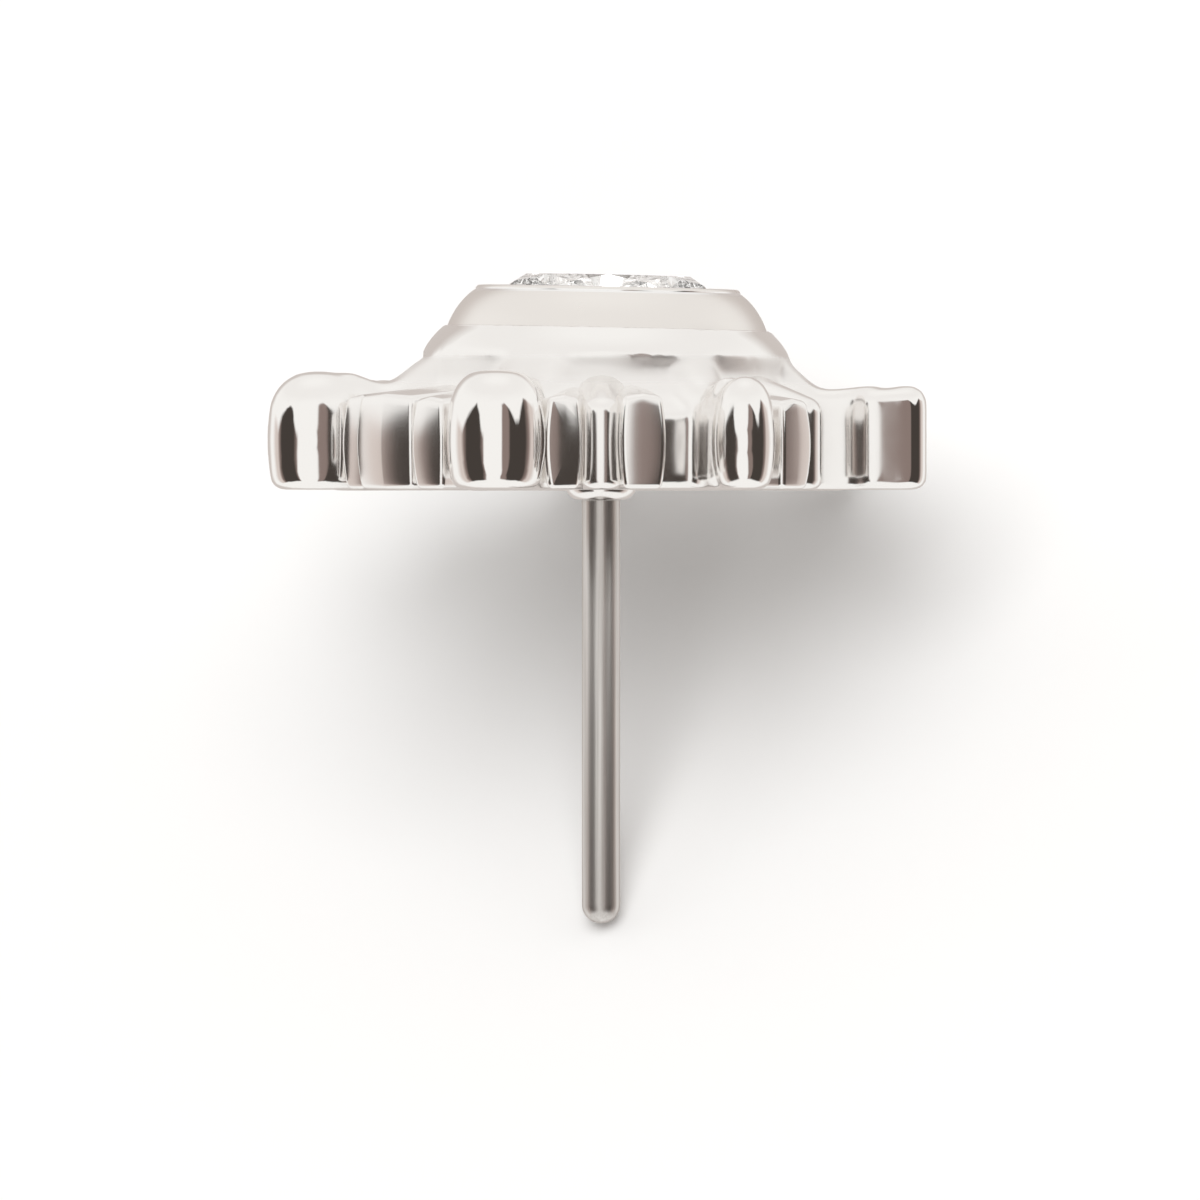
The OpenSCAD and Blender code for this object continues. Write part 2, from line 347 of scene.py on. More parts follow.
def ridge_size(r, half, height, reach, tip_share):
    """Half width and height of a petal's ridge at a distance from the axis."""
    neck = reach - NECK_BACK
    if r > neck:
        widening = min(1, (r - neck) / NECK_LENGTH)
        share = NECK_SHARE + (tip_share - NECK_SHARE) * ease(widening)
    else:
        share = NECK_SHARE + (ROOT_SHARE - NECK_SHARE) * (neck - r) / (neck - ROOT_R)
    dip = max(height - DIP_DROP, min(height, DIP_FLOOR))
    if r > DIP_R:
        rise = min(1, (r - DIP_R) / (reach - CREST_BACK - DIP_R))
        level = dip + (height - dip - RIDGE_BELOW_TIP) * ease(rise)
    else:
        level = dip + (ROOT_H - dip) * ease((DIP_R - r) / (DIP_R - ROOT_R))
    return half * share, level


def petal_ridge(half, height, top_round, reach, tip_share):
    """The ridge, extruded station by station from the cushion to the tip."""
    steps = 20
    end = reach - RIDGE_END_BACK
    stations = [ROOT_R + (end - ROOT_R) * i / steps for i in range(steps + 1)]
    stations.insert(0, ROOT_R - ROOT_SUNK)
    bpy.ops.object.select_all(action="DESELECT")
    bpy.ops.mesh.primitive_plane_add(
        size=1, rotation=(math.pi / 2, 0, 0), location=(0, -stations[0], 0.5)
    )
    bar = bpy.context.object
    bpy.ops.object.transform_apply(location=True, rotation=True)
    wide, tall = ridge_size(ROOT_R, half, height, reach, tip_share)
    place(bar, Matrix.Diagonal((2 * wide, 1, tall, 1)))
    round_top = min(top_round, wide * 0.9)
    for level, width, count in ((tall, round_top, 8), (0, EDGE_ROUND, 3)):
        choose_points(bar, lambda p: abs(p.z - level) < LEVEL_ERROR)
        bpy.ops.mesh.bevel(
            offset=width, segments=count, affect="VERTICES", clamp_overlap=False
        )
        done()
    choose_edges(bar, lambda p: abs(p.x) > wide - LEVEL_ERROR)
    bpy.ops.mesh.subdivide(number_cuts=5)
    done()
    edit(bar, "FACE")
    bpy.ops.mesh.select_all(action="SELECT")
    for before, after in zip(stations, stations[1:]):
        step = {"value": (0, before - after, 0)}
        bpy.ops.mesh.extrude_region_move(TRANSFORM_OT_translate=step)
        new_wide, new_tall = ridge_size(max(after, ROOT_R), half, height, reach, tip_share)
        bpy.ops.transform.resize(
            value=(new_wide / wide, 1, new_tall / tall), center_override=(0, -after, 0)
        )
        wide, tall = new_wide, new_tall
    bpy.ops.mesh.select_all(action="SELECT")
    bpy.ops.mesh.normals_make_consistent(inside=False)
    done()
    arched(bar, height)
    return bar


def big_petal(number, angle, reach, half, height, top_round, length, barrel):
    """A round tip and the ridge that joins it to the cushion."""
    if number == BLUNT_PETAL:
        ridge = petal_ridge(half, height, top_round, reach, BLUNT_SHARE)
        tip = blunt_tip(half, height, reach)
    else:
        ridge = petal_ridge(half, height, top_round, reach, TIP_SHARE)
        tip = petal_tip(half, height, top_round, reach, length, barrel)
    return turned(joined([tip, ridge], f"petal_{number}"), angle)


wax = [big_petal(number, *row) for number, row in enumerate(BIG_PETALS)]
print("petals:", len(wax), "faces each:", len(wax[0].data.polygons))

# %% [markdown]
# ## The small lobes
# Small lobes stand between the petals, two in most gaps. Where there are three, the narrow one
# leans on the widest. They aren't round but blunt: nearly flat in front, with two tight corners,
# and a little thicker at half their height, like a barrel. A corner is a slim post whose ends
# lean in, and the convex hull of six such posts is the lobe. The two posts in the middle are a
# little taller, which crowns it.

# %% Lobes
# Angle, radius of the face, half width, height at the face, how far the face looks aside, and
# how far its middle stands out
SEEN_LOBES = (
    (-60.5, 4.12, 0.33, 1.36, 16.5, 0.006),
    (-52.6, 4.05, 0.56, 1.38, 9.5, 0.03),
    (-39.4, 4.02, 0.31, 1.33, 0, 0.006),
    (-8.2, 4.04, 0.27, 1.35, 26, 0.006),
    (8.8, 4.07, 0.34, 1.37, 2, 0.006),
    (47.0, 3.93, 0.31, 1.30, -5, 0.006),
)
# A hidden lobe has first its distance, in degrees, to the middle of its gap
HIDDEN_LOBE = (7.8, 3.98, 0.32, 1.30, 0, 0.006)
HIDDEN_GAPS = (3, 4, 5, 6)
LOBE_ROOT = 0.3
LOBE_CORNER = 0.085
LOBE_BARREL = 0.06
LOBE_RISE = 0.14
LOBE_CROWN = 0.06


def bowed_post(h, spot):
    """A slim post with round ends, which leans in above and below the middle of its height."""
    ends = [
        (LOBE_CORNER * math.sin(a), LOBE_CORNER * (1 - math.cos(a)))
        for a in (0.3, 0.6, 0.9, 1.2, 1.57)
    ]
    levels = [(LOBE_CORNER, LOBE_CORNER + (h - 2 * LOBE_CORNER) * i / 14) for i in range(1, 14)]
    post = turning(ends + levels + [(r, h - z) for r, z in reversed(ends)], "post", 20)
    edit(post)
    mesh = bmesh.from_edit_mesh(post.data)
    for point in mesh.verts:
        lean_in = LOBE_BARREL * (2 * point.co.z / h - 1) ** 2
        point.co.x -= math.copysign(lean_in, spot[0]) if spot[0] else 0
        point.co.y += lean_in
    bmesh.update_edit_mesh(post.data)
    done()
    place(post, Matrix.Translation((spot[0], spot[1], 0)))
    return post


def small_lobe(number, angle, reach, half, height, aside, bow):
    """A blunt lobe that rises to the cushion's wall."""
    side, face = half - LOBE_CORNER, reach - LOBE_CORNER
    back = CUSHION_R - LOBE_ROOT
    crest = height + LOBE_RISE + LOBE_CROWN
    parts = [bowed_post(height + LOBE_CROWN / 2, (0, -face)), bowed_post(crest, (0, -back))]
    slope = math.tan(math.radians(aside))
    for x in (-side, side):
        parts.append(bowed_post(height, (x, bow - face + x * slope)))
        parts.append(bowed_post(height + LOBE_RISE, (x, -back)))
    return turned(wrapped(parts, f"lobe_{number}"), angle)


def gap_middle(i):
    """Angle of the middle of the gap after a petal."""
    last = i == len(BIG_PETALS) - 1
    following = BIG_PETALS[0][0] + 360 if last else BIG_PETALS[i + 1][0]
    return (BIG_PETALS[i][0] + following) / 2


lobes = list(SEEN_LOBES)
for gap_number in HIDDEN_GAPS:
    for side in (-1, 1):
        lobes.append((gap_middle(gap_number) + side * HIDDEN_LOBE[0], *HIDDEN_LOBE[1:]))
print("lobes:", len(lobes))

# %% [markdown]
# ## Ribs, disc, cushion and collar
# Deep in the middle of each gap a narrow rib climbs to the cushion, and a round disc carries
# everything. The disc is a filled circle that is raised ring by ring, and so is the cushion
# under the cup. The cushion stands a little higher than its seam, where it is cut flat later.
# The weld collar round the pin is a low turned ring below the disc.

# %% Ribs, disc, cushion and collar
RIB_TIP_R = 0.3
RIB_REACH = 3.84
RIB_H = 1.36
RIB_FLARE = 0.1
RIB_CLIMB = 0.3
FRONT_GAP = 1
FRONT_RIB = 0.2
BEZEL_BASE_R = 2.34
CUSHION_LOW = 1.9
CUSHION_BULGE = 0.3
COLLAR_R = 0.52
COLLAR_H = 0.14
COLLAR_EDGE = ((-0.17, 0), (-0.13, 0.006), (-0.07, 0.05), (-0.02, 0.11))
DISC_R = 3.2
DISC_H = 1.16
DISC_EDGE = 0.1
# The disc climbs to the cushion in a hollow slope, given by radii and heights over its top
DISC_SLOPE = ((3.0, 0.09), (2.89, 0.2), (2.79, 0.36), (2.71, 0.54), (2.66, 0.68))
CUSHION_SUNK = 0.96


def rib(angle):
    """A narrow rib that climbs towards the cushion."""
    return turned(wrapped([
        pillar(RIB_TIP_R, RIB_H, RIB_TIP_R - 0.04, (0, RIB_TIP_R - RIB_REACH), 24),
        pillar(RIB_TIP_R + RIB_FLARE, RIB_H + RIB_CLIMB, RIB_TIP_R + 0.06, (0, -CUSHION_R), 24),
    ], "rib"), angle)


disc = turning(
    quarter(DISC_R - EDGE_ROUND, EDGE_ROUND, EDGE_ROUND, -90, 0, 4)
    + quarter(DISC_R - DISC_EDGE, DISC_H - DISC_EDGE, DISC_EDGE, 0, 60, 3)
    + [(r, DISC_H + over) for r, over in DISC_SLOPE],
    "disc",
)
teeth = [small_lobe(number, *row) for number, row in enumerate(lobes)]
teeth += [rib(FRONT_RIB if i == FRONT_GAP else gap_middle(i)) for i in range(1, len(BIG_PETALS))]
wax.append(disc)
cushion_foot = CUSHION_LOW - SEAM_Z
cushion = turning(
    [(CUSHION_R - 0.08, -CUSHION_SUNK), (CUSHION_R - 0.06, cushion_foot - 0.04)]
    + [(CUSHION_R - 0.02, cushion_foot)]
    + bulging_wall(CUSHION_R, BEZEL_BASE_R + 0.04, cushion_foot + 0.05, 0.01, CUSHION_BULGE, 10)
    + [(BEZEL_BASE_R - 0.06, 0.14)],
    "cushion",
)
place(cushion, crown_place)
wax.append(cushion)
teeth.append(turning(
    [(COLLAR_R + out, -COLLAR_H + up) for out, up in COLLAR_EDGE] + [(COLLAR_R, 0.1)],
    "collar", 64,
))
print("wax parts:", len(wax))

# %% [markdown]
# ## Melting the wax together
# Sharp inner corners would give the model away: in a casting all the parts flow into each other.
# A voxel remesh turns the heap of parts into one skin, and a smoothing pass melts the corners.

# %% One skin
VOXEL = 0.058
flower = joined(wax, "flower_casting")
apply(flower, "REMESH", mode="VOXEL", voxel_size=VOXEL)
apply(flower, "SMOOTH", factor=0.5, iterations=16)
print("flower after melting:", len(flower.data.polygons), "faces")

# %% [markdown]
# ## Lobes and cuts
# The lobes and ribs have tight corners, which the remesh would blur, so booleans join them to
# the flower. The pin's hole and the seat of the cup are cut last, and the seat's wide upper part
# cuts the cushion flat at its seam.

# %% Lobes and cuts
BEZEL_RIM_R = 1.94
BEZEL_H = 0.61
PLUG_R = 1.64
PLUG_LEN = 1.24
SEAM_GAP = 0.006
SOLDER_R = 0.022
SOLDER_SUNK = 0.4


def carve(piece, tool, how):
    """Adds or cuts one closed shape, and throws the tool away."""
    apply(piece, "BOOLEAN", operation=how, object=tool, solver="EXACT")
    bpy.data.objects.remove(tool)


all_teeth = teeth[0]
for tooth in teeth[1:]:
    carve(all_teeth, tooth, "UNION")
carve(flower, all_teeth, "UNION")
pin_hole = turning([(STUB_R + GAP, -1), (STUB_R + GAP, PIN_GRIP + GAP)], "pin_hole", 48)
carve(flower, pin_hole, "DIFFERENCE")
seat_cut = turning(
    [(PLUG_R + GAP, -PLUG_LEN - GAP), (PLUG_R + GAP, -SEAM_GAP), (CUSHION_R + 1, -SEAM_GAP)]
    + [(CUSHION_R + 1, 1)],
    "seat_cut", 128,
)
place(seat_cut, crown_place)
carve(flower, seat_cut, "DIFFERENCE")

# The fine uneven line of solder round the cup's foot
bpy.ops.object.select_all(action="DESELECT")
bpy.ops.mesh.primitive_torus_add(
    major_radius=BEZEL_BASE_R + SOLDER_R + SEAM_GAP, minor_radius=SOLDER_R,
    major_segments=360, minor_segments=12,
)
solder = bpy.context.object
solder_grain = bpy.data.textures.new("solder_grain", "CLOUDS")
solder_grain.noise_scale = 0.12
apply(solder, "DISPLACE", texture=solder_grain, strength=0.012, mid_level=0.9)
place(solder, crown_place @ Matrix.Translation((0, 0, -SOLDER_SUNK * SOLDER_R)))
carve(flower, solder, "UNION")

# Cuts leave slivers along their seams, which are merged away
SLIVER = 0.0015
edit(flower)
bpy.ops.mesh.select_all(action="SELECT")
bpy.ops.mesh.remove_doubles(threshold=SLIVER)
bpy.ops.mesh.dissolve_degenerate(threshold=SLIVER)
bpy.ops.mesh.select_all(action="SELECT")
bpy.ops.mesh.quads_convert_to_tris()
bpy.ops.mesh.dissolve_degenerate(threshold=SLIVER)
bpy.ops.mesh.select_all(action="DESELECT")
bpy.ops.mesh.select_non_manifold(extend=False)
done()
open_edges = sum(edge.select for edge in flower.data.edges)
print("flower:", len(flower.data.polygons), "faces, open edges:", open_edges)

# %% [markdown]
# ## The cup
# The cup is turned in one piece with the plug that sits in the cushion: a bulging wall, a lip
# that is rubbed down over the stone's edge, and a seat that follows the stone's underside.

# %% Cup
PLUG_EDGE = 0.05
CUP_BULGE = 0.4
RIM_EDGE = 0.06
LIP_EDGE = 0.025
LIP_OVER = 0.09
SEAT_ROOM = 0.03
FOOT_EDGE = 0.012
STONE_R = 1.72
TABLE_R = 1.2
TABLE_OVER_RIM = 0.18
TABLE_Z = BEZEL_H + TABLE_OVER_RIM
GIRDLE = 0.06
CROWN_SLOPE = math.tan(math.radians(34.5))
PAVILION_SLOPE = math.tan(math.radians(40.5))
HALF_STEP = math.radians(22.5)
girdle_top = TABLE_Z - (STONE_R - TABLE_R) * CROWN_SLOPE
girdle_low = girdle_top - GIRDLE
culet_z = girdle_low - STONE_R * PAVILION_SLOPE
star_r = (TABLE_R + STONE_R) / 2 + 0.02
star_z = TABLE_Z - (star_r * math.cos(HALF_STEP) - TABLE_R) * CROWN_SLOPE
lip_r = STONE_R - LIP_OVER
lip_under = star_z + (girdle_top - star_z) * (lip_r - star_r) / (STONE_R - star_r) + SEAT_ROOM
bezel = turning(
    [(PLUG_R - PLUG_EDGE, -PLUG_LEN), (PLUG_R, -PLUG_LEN + PLUG_EDGE), (PLUG_R, 0)]
    + [(BEZEL_BASE_R - FOOT_EDGE, 0)]
    + bulging_wall(BEZEL_BASE_R, BEZEL_RIM_R, FOOT_EDGE, BEZEL_H - RIM_EDGE, CUP_BULGE, 12)
    + quarter(BEZEL_RIM_R - RIM_EDGE, BEZEL_H - RIM_EDGE, RIM_EDGE, 15, 90, 5)
    + quarter(lip_r + LIP_EDGE, BEZEL_H - LIP_EDGE, LIP_EDGE, 90, 180, 4)
    + [(lip_r, lip_under), (STONE_R + SEAT_ROOM, girdle_top + SEAT_ROOM)]
    + [(STONE_R + SEAT_ROOM, girdle_low - SEAT_ROOM)]
    + [(0.1, culet_z + 0.1 * PAVILION_SLOPE - 0.06), (0.01, culet_z - 0.03)],
    "bezel_cup",
)
place(bezel, crown_place)
print("bezel:", len(bezel.data.polygons), "faces")

# %% [markdown]
# ## The stone
# A round brilliant isn't modelled but cut, as on a cutter's wheel: a short cylinder is bisected
# by one flat plane after another, and what lies outside each plane is thrown away. Three points
# of the finished stone give each plane, and each cut repeats at eight angles.

# %% Stone
LOWER_R = 0.36
lower_z = culet_z + LOWER_R * math.cos(HALF_STEP) * PAVILION_SLOPE


def on_ring(r, z, steps):
    """A point of the stone, at a number of half steps round the axis."""
    return Vector((r * math.cos(steps * HALF_STEP), r * math.sin(steps * HALF_STEP), z))


table = [on_ring(TABLE_R, TABLE_Z, steps) for steps in (0, 2)]
star = on_ring(star_r, star_z, 1)
upper_edge = [on_ring(STONE_R, girdle_top, steps) for steps in (0, 1, 2)]
lower_edge = [on_ring(STONE_R, girdle_low, steps) for steps in (0, 1, 2)]
lower = on_ring(LOWER_R, lower_z, 1)
culet = on_ring(0, culet_z, 0)
CUTS = {
    "crown main": (table[0], star, upper_edge[0]),
    "star": (table[0], table[1], star),
    "upper left": (star, upper_edge[1], upper_edge[0]),
    "upper right": (star, upper_edge[2], upper_edge[1]),
    "pavilion main": (culet, lower, lower_edge[0]),
    "lower left": (lower, lower_edge[0], lower_edge[1]),
    "lower right": (lower, lower_edge[1], lower_edge[2]),
}
stone = turning([(STONE_R, culet_z - 0.1), (STONE_R, TABLE_Z)], "brilliant", 96)
for a, b, c in CUTS.values():
    normal = (b - a).cross(c - a).normalized()
    if normal.dot(a - Vector((0, 0, girdle_low))) < 0:
        normal.negate()
    for k in range(8):
        turn = Matrix.Rotation(2 * k * HALF_STEP, 3, "Z")
        edit(stone)
        bpy.ops.mesh.select_all(action="SELECT")
        bpy.ops.mesh.bisect(
            plane_co=turn @ a, plane_no=turn @ normal, use_fill=True, clear_outer=True
        )
        done()
edit(stone)
bpy.ops.mesh.select_all(action="SELECT")
bpy.ops.mesh.remove_doubles(threshold=0.0005)
bpy.ops.mesh.dissolve_limited(angle_limit=math.radians(0.2))
bpy.ops.mesh.select_all(action="SELECT")
bpy.ops.mesh.normals_make_consistent(inside=False)
done()
place(stone, crown_place)
print("stone:", len(stone.data.polygons), "facets")

# %% [markdown]
# ## The pin
# Drawn wire, cut and tumbled until its tip is round. A bevel as wide as the wire's own radius
# turns the end of a cylinder into that round tip. Its other end steps in to a thin stub, which
# sits in the flower's hole: an inset and an extrusion of the end face.

# %% Pin
COLLAR_GAP = 0.008
PIN_TIP_SHARE = 0.985
SHOULDER_EDGE = 0.012
wire_top = -COLLAR_H - COLLAR_GAP
bpy.ops.object.select_all(action="DESELECT")
bpy.ops.mesh.primitive_cylinder_add(
    vertices=64, radius=PIN_R, depth=PIN_LEN + wire_top,
    location=(0, 0, (wire_top - PIN_LEN) / 2),
)
pin = bpy.context.object
pin.name = pin.data.name = "push_pin"
bpy.ops.object.transform_apply(location=True)
choose_edges(pin, lambda p: abs(p.z + PIN_LEN) < LEVEL_ERROR)
bpy.ops.mesh.bevel(offset=PIN_R * PIN_TIP_SHARE, segments=12, profile=0.5, clamp_overlap=False)
done()
choose_points(pin, lambda p: abs(p.z - wire_top) < LEVEL_ERROR)
bpy.ops.mesh.inset(thickness=PIN_R - STUB_R)
bpy.ops.mesh.extrude_region_move(TRANSFORM_OT_translate={"value": (0, 0, PIN_GRIP - wire_top)})
done()
choose_edges(pin, lambda p: abs(p.z - wire_top) < LEVEL_ERROR and p.xy.length > STUB_R + 0.01)
bpy.ops.mesh.bevel(offset=SHOULDER_EDGE, segments=2, profile=0.5)
done()
print("pin:", len(pin.data.polygons), "faces")

# %% [markdown]
# ## Laying the top down
# Each piece is scaled to metres and laid down as it rests. Smooth shading keeps the edges that
# are sharper than the given angle, and the stone stays flat on every facet.

# %% Lay down
pieces = {
    "flower": (flower, "polished_metal", 40),
    "bezel": (bezel, "bezel_metal", 35),
    "stone": (stone, "clear_stone", 0),
    "pin": (pin, "pin_wire", 50),
}
for node, (piece, slot, angle) in pieces.items():
    place(piece, as_it_rests)
    alone(piece)
    if angle:
        bpy.ops.object.shade_smooth_by_angle(angle=math.radians(angle))
    else:
        bpy.ops.object.shade_flat()
    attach(piece, "root")
    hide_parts(node)
    piece.data.calc_loop_triangles()
    print(node, len(piece.data.loop_triangles), "triangles")

# %% [markdown]
# ## Finishes
# All patterns read Object coordinates, which are metres here, so each is scaled to the size that
# it has on the metal: waves a third of a millimetre long, scratches a few hundredths wide.


# %% Material helpers
# Where the Mix node has its two colours and its mixed colour
MIX_FIRST, MIX_SECOND, MIX_RESULT = 6, 7, 2


def new_material(name, base, metallic, roughness):
    """A material with its principled shader set, and its node tree."""
    material = bpy.data.materials.new(name)
    material.use_nodes = True
    tree = material.node_tree
    shader = tree.nodes["Principled BSDF"]
    shader.inputs["Base Color"].default_value = (*base, 1)
    shader.inputs["Metallic"].default_value = metallic
    shader.inputs["Roughness"].default_value = roughness
    return material, tree, shader


def new_node(tree, kind, inputs=(), **settings):
    """Adds a node with its settings and input values."""
    made = tree.nodes.new(kind)
    for key, value in settings.items():
        setattr(made, key, value)
    for key, value in dict(inputs).items():
        if hasattr(value, "is_output"):
            tree.links.new(value, made.inputs[key])
        else:
            made.inputs[key].default_value = value
    return made


def pattern(tree, size, laid=Matrix()):
    """Object coordinates in steps of a size, along the axes of a piece that is laid down."""
    coordinates = new_node(tree, "ShaderNodeTexCoord")
    mapping = new_node(
        tree, "ShaderNodeMapping", {"Vector": coordinates.outputs["Object"]},
        vector_type="TEXTURE",
    )
    mapping.inputs["Location"].default_value = laid.to_translation()
    mapping.inputs["Rotation"].default_value = laid.to_euler()
    mapping.inputs["Scale"].default_value = size
    return mapping.outputs["Vector"]


def noise(tree, vector, scale, detail=2.0, roughness=0.5):
    """A soft noise."""
    return new_node(
        tree, "ShaderNodeTexNoise",
        {"Vector": vector, "Scale": scale, "Detail": detail, "Roughness": roughness},
    ).outputs["Fac"]


def spread(tree, value, low, high):
    """A value from 0 to 1 spread over a range."""
    return new_node(
        tree, "ShaderNodeMapRange", {"Value": value, "To Min": low, "To Max": high}
    ).outputs["Result"]


def share_between(tree, value, start, end):
    """How far a value has come on its way from a start to an end, from 0 to 1."""
    return new_node(
        tree, "ShaderNodeMapRange", {"Value": value, "From Min": start, "From Max": end}
    ).outputs["Result"]


def math_node(tree, how, a, b=0.0):
    """One step of arithmetic."""
    return new_node(tree, "ShaderNodeMath", {0: a, 1: b}, operation=how).outputs["Value"]


def vector_node(tree, how, a, b=(0, 0, 0)):
    """One step of arithmetic on vectors."""
    return new_node(tree, "ShaderNodeVectorMath", {0: a, 1: b}, operation=how)


def colour_mix(tree, share):
    """A mix of two colours: the inputs of both, and the output."""
    made = new_node(tree, "ShaderNodeMix", {"Factor": share}, data_type="RGBA")
    return made.inputs[MIX_FIRST], made.inputs[MIX_SECOND], made.outputs[MIX_RESULT]


def bump(tree, height, distance, strength):
    """Relief of a height pattern."""
    return new_node(
        tree, "ShaderNodeBump", {"Height": height, "Distance": distance, "Strength": strength}
    ).outputs["Normal"]


# %% Polished casting
MIRROR = (0.02, 0.085)
# No wheel reaches between the petals: the metal is satin there. Each pair tells where that
# starts and where it is full, by distance from the axis and by height, in bench millimetres
SATIN = 0.13
SATIN_R = (4.65, 4.05)
SATIN_Z = (2.35, 1.8)
# The pockets under the cushion's foot are matt, between a top and a floor
MATT = 0.3
POCKET_R = (3.35, 3.1)
POCKET_TOP = (1.98, 1.9)
POCKET_FLOOR = (1.5, 1.7)
casting, tree, shader = new_material("polished_casting", (0.95, 0.935, 0.92), 1.0, 0.04)
metres = pattern(tree, (1, 1, 1))
waves = noise(tree, metres, 900, 1)
haze = noise(tree, metres, 2600, 4, 0.6)
bench = pattern(tree, (0.001, 0.001, 0.001), as_it_rests)
flat = vector_node(tree, "MULTIPLY", bench, (1, 1, 0)).outputs["Vector"]
away = vector_node(tree, "LENGTH", flat).outputs["Value"]
level = new_node(tree, "ShaderNodeSeparateXYZ", {0: bench}).outputs["Z"]
near = share_between(tree, away, *SATIN_R)
low_down = share_between(tree, level, *SATIN_Z)
satin = math_node(tree, "MULTIPLY", math_node(tree, "MULTIPLY", near, low_down), SATIN)
inner = share_between(tree, away, *POCKET_R)
below = share_between(tree, level, *POCKET_TOP)
high_up = share_between(tree, level, *POCKET_FLOOR)
shelf = math_node(tree, "MULTIPLY", high_up, below)
matt = math_node(tree, "MULTIPLY", math_node(tree, "MULTIPLY", inner, shelf), MATT)
polish = spread(tree, haze, *MIRROR)
rough = math_node(tree, "ADD", polish, math_node(tree, "ADD", satin, matt))
tree.links.new(rough, shader.inputs["Roughness"])
tree.links.new(bump(tree, waves, 0.00002, 0.25), shader.inputs["Normal"])
print(casting.name, len(tree.nodes), "nodes")

# %% Softer polish of the cup
cup_finish, tree, shader = new_material("cup_polish", (0.9, 0.87, 0.84), 1.0, 0.2)
metres = pattern(tree, (1, 1, 1))
rubbed = noise(tree, metres, 1500, 3, 0.6)
tree.links.new(spread(tree, rubbed, 0.24, 0.34), shader.inputs["Roughness"])
tree.links.new(bump(tree, rubbed, 0.00002, 0.2), shader.inputs["Normal"])
print(cup_finish.name, len(tree.nodes), "nodes")

# %% Bright seat under the stone
seat_finish, tree, shader = new_material("bright_seat", (0.97, 0.965, 0.96), 1.0, 0.05)
metres = pattern(tree, (1, 1, 1))
tree.links.new(spread(tree, noise(tree, metres, 1200, 2), 0.03, 0.12), shader.inputs["Roughness"])
print(seat_finish.name, len(tree.nodes), "nodes")

# %% Clear stone
ZIRCONIA_INDEX = 2.16
clear, tree, shader = new_material("clear_brilliant", (1.0, 1.0, 1.0), 0.0, 0.0)
shader.inputs["IOR"].default_value = ZIRCONIA_INDEX
shader.inputs["Transmission Weight"].default_value = 1.0
metres = pattern(tree, (1, 1, 1))
tree.links.new(spread(tree, noise(tree, metres, 4000, 2), 0.0, 0.012), shader.inputs["Roughness"])
print(clear.name, "index:", ZIRCONIA_INDEX)

# %% Drawn wire, with painted reflection bands in its streaks
# Streaks along the wire, which also paint its reflection bands: their width, twice, and their
# length, in metres
STREAK_AND_BAND_SIZE = (0.00007, 0.00007, 0.004)
wire, tree, shader = new_material("drawn_wire", (0.72, 0.69, 0.66), 1.0, 0.35)
streaks_and_painted_bands = noise(tree, pattern(tree, STREAK_AND_BAND_SIZE, as_it_rests), 1, 3, 0.6)
# The dark and light tones of the streaks in the base colour are partly drawing marks and partly
# painted reflection bands of the pin
dark_streak_and_band, bright, streak_and_band_tones = colour_mix(tree, streaks_and_painted_bands)
dark_streak_and_band.default_value = (0.42, 0.39, 0.365, 1)
bright.default_value = (0.95, 0.93, 0.91, 1)
tree.links.new(streak_and_band_tones, shader.inputs["Base Color"])
tree.links.new(spread(tree, streaks_and_painted_bands, 0.42, 0.3), shader.inputs["Roughness"])
tree.links.new(bump(tree, streaks_and_painted_bands, 0.00001, 0.25), shader.inputs["Normal"])
print(wire.name, len(tree.nodes), "nodes")

# %% Materials on the pieces
for piece, material in ((flower, casting), (bezel, cup_finish), (stone, clear), (pin, wire)):
    piece.data.materials.clear()
    piece.data.materials.append(material)

# The inside of the cup, seen through the stone, is brighter than its wall
SEAT_DEPTH = 0.05
bezel.data.materials.append(seat_finish)
to_bench = (as_it_rests @ crown_place).inverted()
for face in bezel.data.polygons:
    spot = to_bench @ face.center
    inside_r = (spot.z - culet_z + SEAT_DEPTH) / PAVILION_SLOPE + 0.06
    if culet_z - SEAT_DEPTH < spot.z < lip_under + 0.01 and spot.xy.length < inside_r:
        face.material_index = 1
print("bright faces of the cup:", sum(face.material_index for face in bezel.data.polygons))

# %% [markdown]
# ## Floor, studio and camera
# Polished metal shows nothing but its surroundings. The photographer's white tent with two dark
# flags beside the camera makes all the stripes on the flower, so the tent is painted on the
# world by direction. The floor stays out of reflections: the tent's own white bottom shows there.

# %% Camera
SIGHT = Vector((0.37298778, -0.51901736, 0.76909108))
UPWARD = Vector((0, 0.8289082, 0.55938465))
# The point of the top, on the bench, that the middle of the photograph shows
PHOTO_MIDDLE = Vector((-0.015, 0, -1.613))
PHOTO_WIDTH = 0.01759
LENS = 1000
SENSOR = 36

middle = as_it_rests @ PHOTO_MIDDLE
to_camera = SIGHT.normalized()
side = UPWARD.cross(to_camera).normalized()
up = to_camera.cross(side)
distance = PHOTO_WIDTH * LENS / SENSOR
camera = bpy.data.objects.new("camera", bpy.data.cameras.new("camera"))
bpy.context.scene.collection.objects.link(camera)
camera.data.lens = LENS
camera.data.sensor_width = SENSOR
camera.data.clip_start = 0.05
camera.data.clip_end = 10
turn = Matrix((side, up, to_camera)).transposed().to_4x4()
camera.matrix_world = Matrix.Translation(middle + to_camera * distance) @ turn
bpy.context.scene.camera = camera
print("camera:", camera.location[:], "side:", side[:])

# %% Floor
bpy.ops.object.select_all(action="DESELECT")
bpy.ops.mesh.primitive_plane_add(size=6)
floor = bpy.context.object
floor.name = "floor"
floor.visible_glossy = False
paper, tree, shader = new_material("floor_paper", (0.93, 0.93, 0.93), 0.0, 0.9)
floor.data.materials.append(paper)
print("floor:", floor.dimensions[:])

